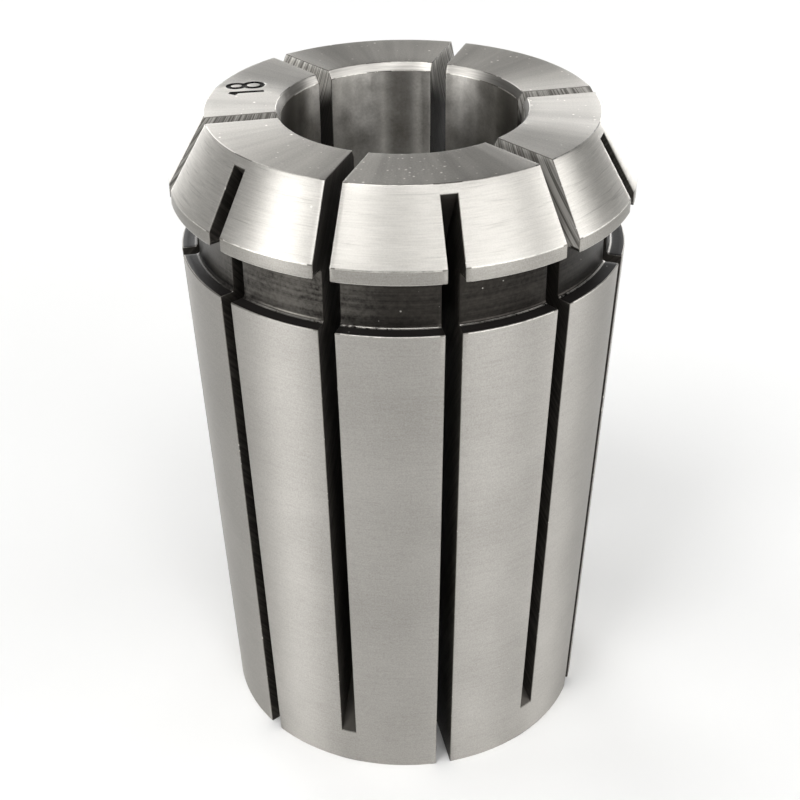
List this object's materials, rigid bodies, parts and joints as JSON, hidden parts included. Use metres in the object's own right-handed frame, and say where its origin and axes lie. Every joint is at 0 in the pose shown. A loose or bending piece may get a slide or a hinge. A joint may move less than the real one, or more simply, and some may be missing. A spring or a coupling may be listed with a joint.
{
  "type": "spring collet",
  "caption": "Sleeve that closes on a tool shank: slow outer taper, pull-off groove, narrow rim, conical nose and saw slots cut from both ends in turn.",
  "frame": {"origin": "centre of the small end's flat face, on the collet's axis", "axes": "+Z along the collet's axis, from the small end towards the clamping face; +X midway between a slot that is open at the small end and one that is open at the clamping face"},
  "size_m": [0.035, 0.035, 0.052],
  "materials": {
    "ground_spring_steel": "hardened spring steel, ground on the taper, cone and bore, with bare sawn slots"
  },
  "bodies": {
    "root": {"spring_collet": "ground_spring_steel"}
  },
  "joints": []
}
